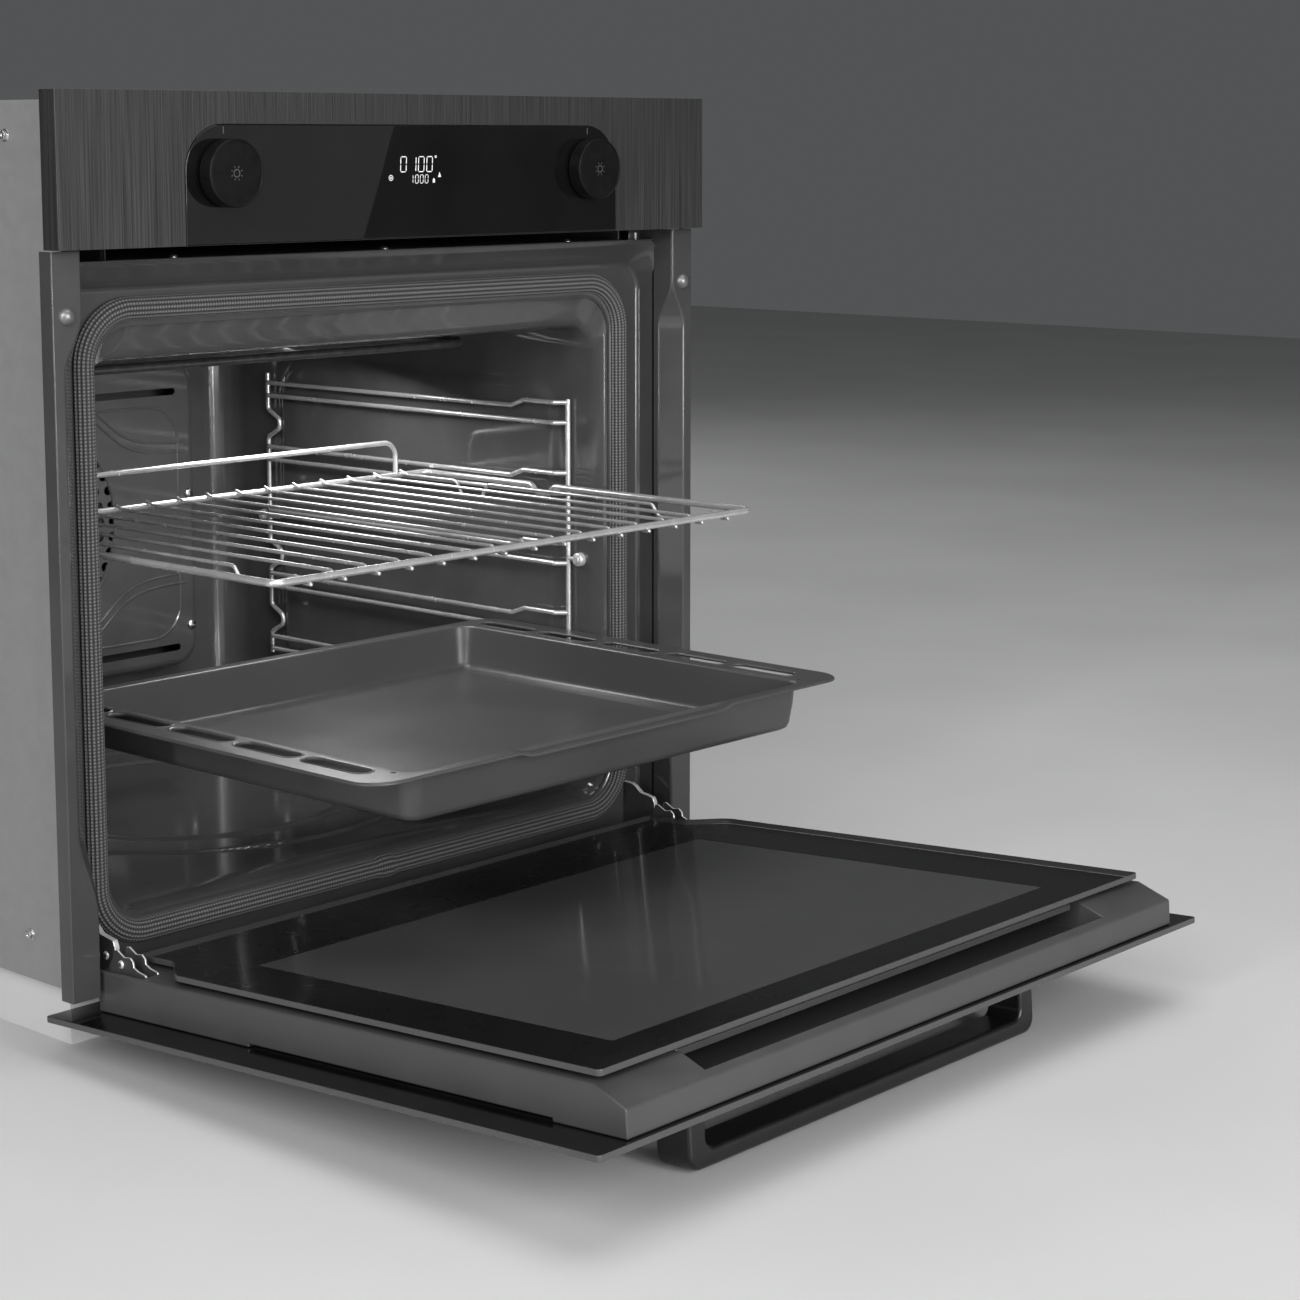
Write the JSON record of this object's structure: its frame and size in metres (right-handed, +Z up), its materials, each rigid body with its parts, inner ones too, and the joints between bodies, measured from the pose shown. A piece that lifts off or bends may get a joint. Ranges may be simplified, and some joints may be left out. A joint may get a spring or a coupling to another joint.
{
  "type": "wall oven",
  "caption": "Built-in electric wall oven with a drop-down glass door, two push-and-turn knobs, a wire shelf and a baking tray on side racks.",
  "frame": {"origin": "centre of the underside of the base pan", "axes": "+X to the right of a person facing the oven, +Y into the oven, +Z up"},
  "size_m": [0.597, 1.0168, 0.6183],
  "materials": {
    "zinc_sheet": "zinc-coated sheet steel, satin",
    "front_enamel": "dark grey semi-gloss vitreous enamel",
    "cavity_enamel": "dark grey gloss vitreous enamel",
    "tray_enamel": "dark grey satin enamel",
    "door_paint": "mid-grey satin coated steel",
    "fascia_metal": "black steel brushed vertically",
    "black_glass": "black-backed toughened glass, polished",
    "tinted_glass": "tinted heat-reflecting glass",
    "black_plastic": "black moulded plastic",
    "display_plastic": "dark display window",
    "circuit_board": "green circuit board",
    "white_plastic": "white moulded plastic",
    "knob_finish": "black satin metal, turned",
    "handle_finish": "black satin coated metal",
    "chrome_wire": "bright chrome-plated wire",
    "polished_steel": "bright nickel-plated steel",
    "bright_steel": "bright steel",
    "fan_aluminium": "bare aluminium",
    "motor_steel": "lacquered motor plates",
    "element_steel": "dark heat-blued tube",
    "mineral_wool": "mineral wool blanket",
    "woven_gasket": "woven glass-fibre braid",
    "lamp_ceramic": "white ceramic",
    "clear_glass": "clear pressed glass"
  },
  "bodies": {
    "root": {"base_pan": "zinc_sheet", "side_panel_left": "zinc_sheet", "side_panel_right": "zinc_sheet", "rear_panel": "zinc_sheet", "top_panel": "zinc_sheet", "front_frame": "front_enamel", "side_trim_left": "front_enamel", "side_trim_right": "front_enamel", "trim_screw_caps": "polished_steel", "control_fascia": "fascia_metal", "control_glass": "black_glass", "fascia_carrier": "black_plastic", "display_module": "display_plastic", "control_board": "circuit_board", "control_chassis": "zinc_sheet", "encoder_left": "bright_steel", "encoder_right": "bright_steel", "air_outlet": "black_plastic", "outlet_screws_set": "bright_steel", "blower_housing": "zinc_sheet", "blower_motor": "motor_steel", "cavity_liner": "cavity_enamel", "insulation": "mineral_wool", "door_gasket": "woven_gasket", "fan_cover": "cavity_enamel", "fan_cover_screws": "bright_steel", "fan_motor": "motor_steel", "ring_element": "element_steel", "grill_element": "element_steel", "base_element": "element_steel", "lamp_holder": "lamp_ceramic", "lamp_lens": "clear_glass", "temperature_probe": "bright_steel", "rack_left": "chrome_wire", "rack_right": "chrome_wire", "rack_nuts": "polished_steel", "terminal_box": "black_plastic", "hinge_receivers": "zinc_sheet", "hinge_arms": "polished_steel"},
    "door": {"hinge_cassettes": "polished_steel", "hinge_pins": "bright_steel", "door_outer_glass": "black_glass", "door_frame": "door_paint", "door_middle_glass": "tinted_glass", "door_inner_glass": "tinted_glass", "glass_spacers": "black_plastic", "door_handle": "handle_finish", "handle_screws": "bright_steel"},
    "button_left": {"plunger_left": "white_plastic"},
    "knob_left": {"knob_left": "knob_finish", "spindle_left": "bright_steel"},
    "button_right": {"plunger_right": "white_plastic"},
    "knob_right": {"knob_right": "knob_finish", "spindle_right": "bright_steel"},
    "fan_wheel": {"fan_impeller": "fan_aluminium"},
    "blower_wheel": {"blower_rotor": "fan_aluminium"},
    "shelf": {"wire_shelf": "chrome_wire"},
    "tray": {"baking_tray": "tray_enamel"}
  },
  "joints": [
    {"name": "door_hinge", "type": "hinge", "parent": "root", "child": "door", "pos_m": [0, -0.2805, 0.006], "axis": [-1, 0, 0], "range_deg": [0, 86.2]},
    {"name": "shelf_slide", "type": "slide", "parent": "root", "child": "shelf", "axis": [0, 1, 0], "range_m": [0, 0.2]},
    {"name": "tray_slide", "type": "slide", "parent": "root", "child": "tray", "axis": [0, 1, 0], "range_m": [0, 0.28]},
    {"name": "press_left", "type": "slide", "parent": "root", "child": "button_left", "axis": [0, 1, 0], "range_m": [0, 0.0015], "stiffness_N_per_m": 900},
    {"name": "turn_left", "type": "hinge", "parent": "button_left", "child": "knob_left", "pos_m": [-0.1695, -0.301, 0.526], "axis": [0, 1, 0], "continuous": true},
    {"name": "press_right", "type": "slide", "parent": "root", "child": "button_right", "axis": [0, 1, 0], "range_m": [0, 0.0015], "stiffness_N_per_m": 900},
    {"name": "turn_right", "type": "hinge", "parent": "button_right", "child": "knob_right", "pos_m": [0.1695, -0.301, 0.526], "axis": [0, 1, 0], "continuous": true},
    {"name": "fan_spin", "type": "hinge", "parent": "root", "child": "fan_wheel", "pos_m": [0, 0.2, 0.229], "axis": [0, 1, 0], "continuous": true},
    {"name": "blower_spin", "type": "hinge", "parent": "root", "child": "blower_wheel", "pos_m": [0, -0.059, 0.485], "axis": [1, 0, 0], "continuous": true}
  ],
  "couplings": [
    {"joint": "shelf_slide", "follows": "door_hinge", "m_per_rad": 0.1329},
    {"joint": "tray_slide", "follows": "door_hinge", "m_per_rad": 0.186}
  ]
}
